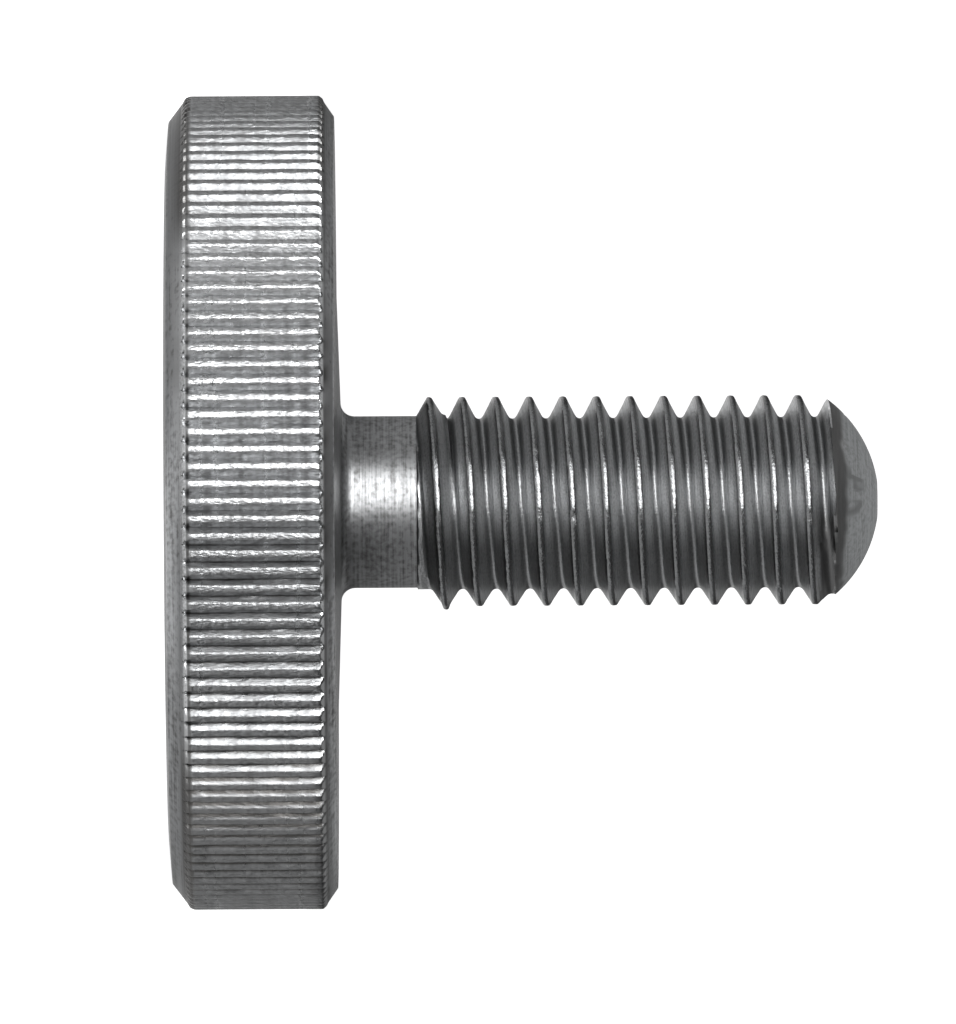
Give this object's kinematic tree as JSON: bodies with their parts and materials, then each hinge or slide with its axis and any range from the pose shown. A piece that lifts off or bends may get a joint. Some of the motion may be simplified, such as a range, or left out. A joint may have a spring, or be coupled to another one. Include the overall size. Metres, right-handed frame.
{
  "type": "knurled thumb screw",
  "caption": "Flat knurled thumb screw: a thin round head with a straight-knurled rim on a short necked shank with a coarse metric thread and a domed end.",
  "frame": {"origin": "centre of the outer face of the head, which the screw stands on", "axes": "+Z along the screw axis, from the head to the tip; X and Y lie in the outer face"},
  "size_m": [0.0302, 0.0302, 0.0264],
  "materials": {
    "steel": "turned, knurled and rolled bare steel, slightly dulled"
  },
  "bodies": {
    "root": {"thumb_screw": "steel"}
  },
  "joints": []
}
